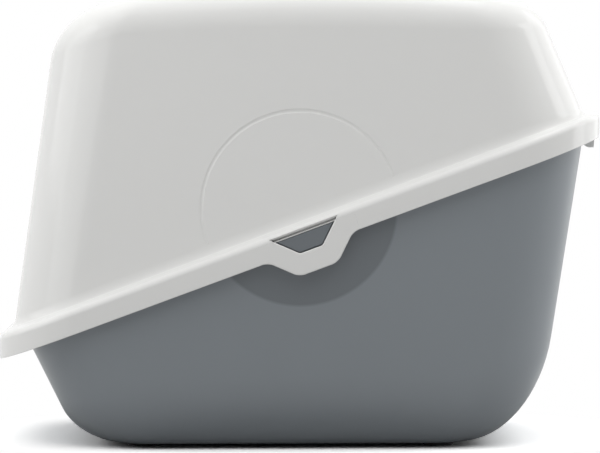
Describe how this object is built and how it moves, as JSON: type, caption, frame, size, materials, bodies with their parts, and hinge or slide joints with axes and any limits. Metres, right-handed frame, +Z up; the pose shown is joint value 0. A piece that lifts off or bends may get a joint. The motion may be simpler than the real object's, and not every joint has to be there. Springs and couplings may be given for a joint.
{
  "type": "top entry litter box",
  "caption": "Top entry litter box: grey tray, white hood hinged at the rear of a slanted rim, side release tabs and a perforated lift-out entry deck in the roof.",
  "frame": {"origin": "centre of the overall length and width, on the floor under the feet", "axes": "+X toward the rear hinges, +Y toward the left side, +Z up"},
  "size_m": [0.58, 0.4, 0.44],
  "materials": {
    "white_hood": "satin moulded",
    "grey_tray": "satin moulded",
    "hinge_pin": "satin moulded",
    "foot": "matte"
  },
  "bodies": {
    "base": {"base_tray": "grey_tray", "hinge_pin_left": "hinge_pin", "hinge_pin_right": "hinge_pin", "foot_front_left": "foot", "foot_front_right": "foot", "foot_rear_left": "foot", "foot_rear_right": "foot"},
    "hood": {"hood_shell": "white_hood", "hinge_clip_left": "white_hood", "hinge_clip_right": "white_hood"},
    "deck": {"entry_deck": "white_hood", "entry_collar": "white_hood"},
    "tab_left": {"side_tab_left": "white_hood"},
    "tab_right": {"side_tab_right": "white_hood"}
  },
  "joints": [
    {"name": "hood_hinge", "type": "hinge", "parent": "base", "child": "hood", "pos_m": [0.282, 0, 0.29302], "axis": [0, 1, 0], "range_deg": [0, 95]},
    {"name": "deck_lift", "type": "slide", "parent": "hood", "child": "deck", "axis": [0, 0, 1], "range_m": [0, 0.06]},
    {"name": "tab_left_flex", "type": "hinge", "parent": "hood", "child": "tab_left", "pos_m": [0.00411, 0.2, 0.2152], "axis": [0.9379, 0, 0.3469], "range_deg": [0, 8], "stiffness_Nm_per_rad": 3},
    {"name": "tab_right_flex", "type": "hinge", "parent": "hood", "child": "tab_right", "pos_m": [0.00411, -0.2, 0.2152], "axis": [-0.9379, 0, -0.3469], "range_deg": [0, 8], "stiffness_Nm_per_rad": 3}
  ]
}
